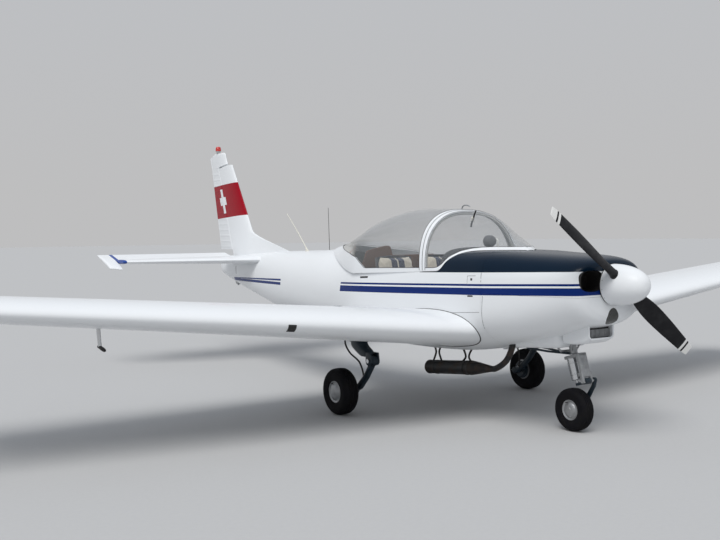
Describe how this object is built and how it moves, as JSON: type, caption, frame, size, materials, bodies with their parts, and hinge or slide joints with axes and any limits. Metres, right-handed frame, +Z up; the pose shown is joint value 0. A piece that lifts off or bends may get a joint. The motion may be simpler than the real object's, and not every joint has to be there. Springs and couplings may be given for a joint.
{
  "type": "light aircraft",
  "caption": "Low-wing light aircraft with two side-by-side seats, sliding bubble canopy, tractor propeller, swept fin and fixed nose-wheel gear.",
  "frame": {"origin": "on the ground, below the middle of the bounding box", "axes": "+X towards the port wing tip, +Y towards the tail, +Z up"},
  "size_m": [9.75, 7.5, 2.81],
  "materials": {
    "white_skin": "gloss white paint",
    "blue_skin": "gloss blue paint",
    "navy_skin": "dark satin paint",
    "firewall_steel": "bare sheet",
    "engine_metal": "grey casting",
    "glazing": "clear",
    "lamp_glass": "clear lens",
    "red_lamp": "gloss red",
    "seat_cloth": "beige cloth with dark stripes",
    "brown_trim": "brown trim cloth",
    "cabin_trim": "matt dark grey",
    "black_grip": "matt black",
    "blade_paint": "satin black with white bands",
    "hub_metal": "satin silver",
    "rim_alloy": "worn silver",
    "leg_paint": "satin blue-grey paint",
    "gear_silver": "satin silver paint",
    "exhaust_steel": "sooty dark metal",
    "tyre_rubber": "matt black",
    "hose_rubber": "matt black"
  },
  "bodies": {
    "airframe": {"fuselage": "white_skin", "tail_cone": "white_skin", "firewall": "firewall_steel", "cowling_upper": "navy_skin", "cowling_lower": "white_skin", "landing_light": "lamp_glass", "air_scoop": "white_skin", "cowl_outlet_fairing": "white_skin", "engine_block": "engine_metal", "windscreen_frame": "white_skin", "windscreen_glass": "glazing", "cabin_floor": "cabin_trim", "coaming": "cabin_trim", "instrument_panel": "cabin_trim", "seat_left": "seat_cloth", "seat_right": "seat_cloth", "rear_panel": "brown_trim", "control_sticks": "black_grip", "wing_left": "white_skin", "wing_right": "white_skin", "fin": "white_skin", "tailplane_left": "white_skin", "tailplane_right": "white_skin", "main_leg_left": "leg_paint", "main_leg_right": "leg_paint", "main_arm_left": "leg_paint", "main_arm_right": "leg_paint", "brake_hose_left": "hose_rubber", "brake_hose_right": "hose_rubber", "nose_gear_mount": "gear_silver", "exhaust_muffler": "exhaust_steel", "whip_aerial": "gear_silver", "pitot_tube": "gear_silver", "tail_tie_down": "gear_silver"},
    "propeller": {"spinner": "white_skin", "propeller_hub": "hub_metal", "blade_a": "blade_paint", "blade_b": "blade_paint"},
    "canopy": {"canopy_frame": "white_skin", "canopy_glass": "glazing"},
    "nose_steering": {"nose_leg": "gear_silver", "nose_fork": "gear_silver"},
    "nose_wheel": {"nose_rim": "rim_alloy", "nose_tyre": "tyre_rubber"},
    "main_wheel_left": {"main_rim_left": "rim_alloy", "main_tyre_left": "tyre_rubber"},
    "main_wheel_right": {"main_rim_right": "rim_alloy", "main_tyre_right": "tyre_rubber"},
    "aileron_left": {"aileron_left": "white_skin"},
    "aileron_right": {"aileron_right": "white_skin"},
    "flap_left": {"flap_left": "white_skin"},
    "flap_right": {"flap_right": "white_skin"},
    "elevator": {"elevator_left": "white_skin", "elevator_right": "white_skin", "elevator_tube": "gear_silver"},
    "rudder": {"rudder": "white_skin", "beacon": "red_lamp"}
  },
  "joints": [
    {"name": "propeller_spin", "type": "hinge", "parent": "airframe", "child": "propeller", "pos_m": [0, -3.54, 1.184], "axis": [0, 1, 0], "continuous": true},
    {"name": "canopy_slide", "type": "slide", "parent": "airframe", "child": "canopy", "axis": [0, 1, 0], "range_m": [0, 0.68]},
    {"name": "nose_steer", "type": "hinge", "parent": "airframe", "child": "nose_steering", "pos_m": [0, -3.038, 0.612], "axis": [0, 0.2974, 0.9548], "range_deg": [-30, 30]},
    {"name": "nose_wheel_spin", "type": "hinge", "parent": "nose_steering", "child": "nose_wheel", "pos_m": [0, -3.033, 0.172], "axis": [1, 0, 0], "continuous": true},
    {"name": "main_wheel_left_spin", "type": "hinge", "parent": "airframe", "child": "main_wheel_left", "pos_m": [1.125, -1.333, 0.205], "axis": [1, 0, 0], "continuous": true},
    {"name": "main_wheel_right_spin", "type": "hinge", "parent": "airframe", "child": "main_wheel_right", "pos_m": [-1.125, -1.333, 0.205], "axis": [1, 0, 0], "continuous": true},
    {"name": "aileron_left_hinge", "type": "hinge", "parent": "airframe", "child": "aileron_left", "pos_m": [2.59, -0.99414, 0.93892], "axis": [-0.9953, -0.0004, -0.0974], "range_deg": [-20, 20]},
    {"name": "aileron_right_hinge", "type": "hinge", "parent": "airframe", "child": "aileron_right", "pos_m": [-2.59, -0.99414, 0.93892], "axis": [-0.9953, 0.0004, 0.0974], "range_deg": [-20, 20]},
    {"name": "flap_left_hinge", "type": "hinge", "parent": "airframe", "child": "flap_left", "pos_m": [0.7, -0.99542, 0.74652], "axis": [-0.9949, -0.0007, -0.1013], "range_deg": [0, 40]},
    {"name": "flap_right_hinge", "type": "hinge", "parent": "airframe", "child": "flap_right", "pos_m": [-0.7, -0.99542, 0.74652], "axis": [-0.9949, 0.0007, 0.1013], "range_deg": [0, 40]},
    {"name": "elevator_hinge", "type": "hinge", "parent": "airframe", "child": "elevator", "pos_m": [0, 2.87, 1.285], "axis": [-1, 0, 0], "range_deg": [-8, 40]},
    {"name": "rudder_hinge", "type": "hinge", "parent": "airframe", "child": "rudder", "pos_m": [0, 3.035, 1.405], "axis": [0, 0.3559, 0.9345], "range_deg": [-25, 25]}
  ],
  "couplings": [
    {"joint": "aileron_right_hinge", "follows": "aileron_left_hinge", "ratio": -1},
    {"joint": "flap_right_hinge", "follows": "flap_left_hinge", "ratio": 1}
  ]
}
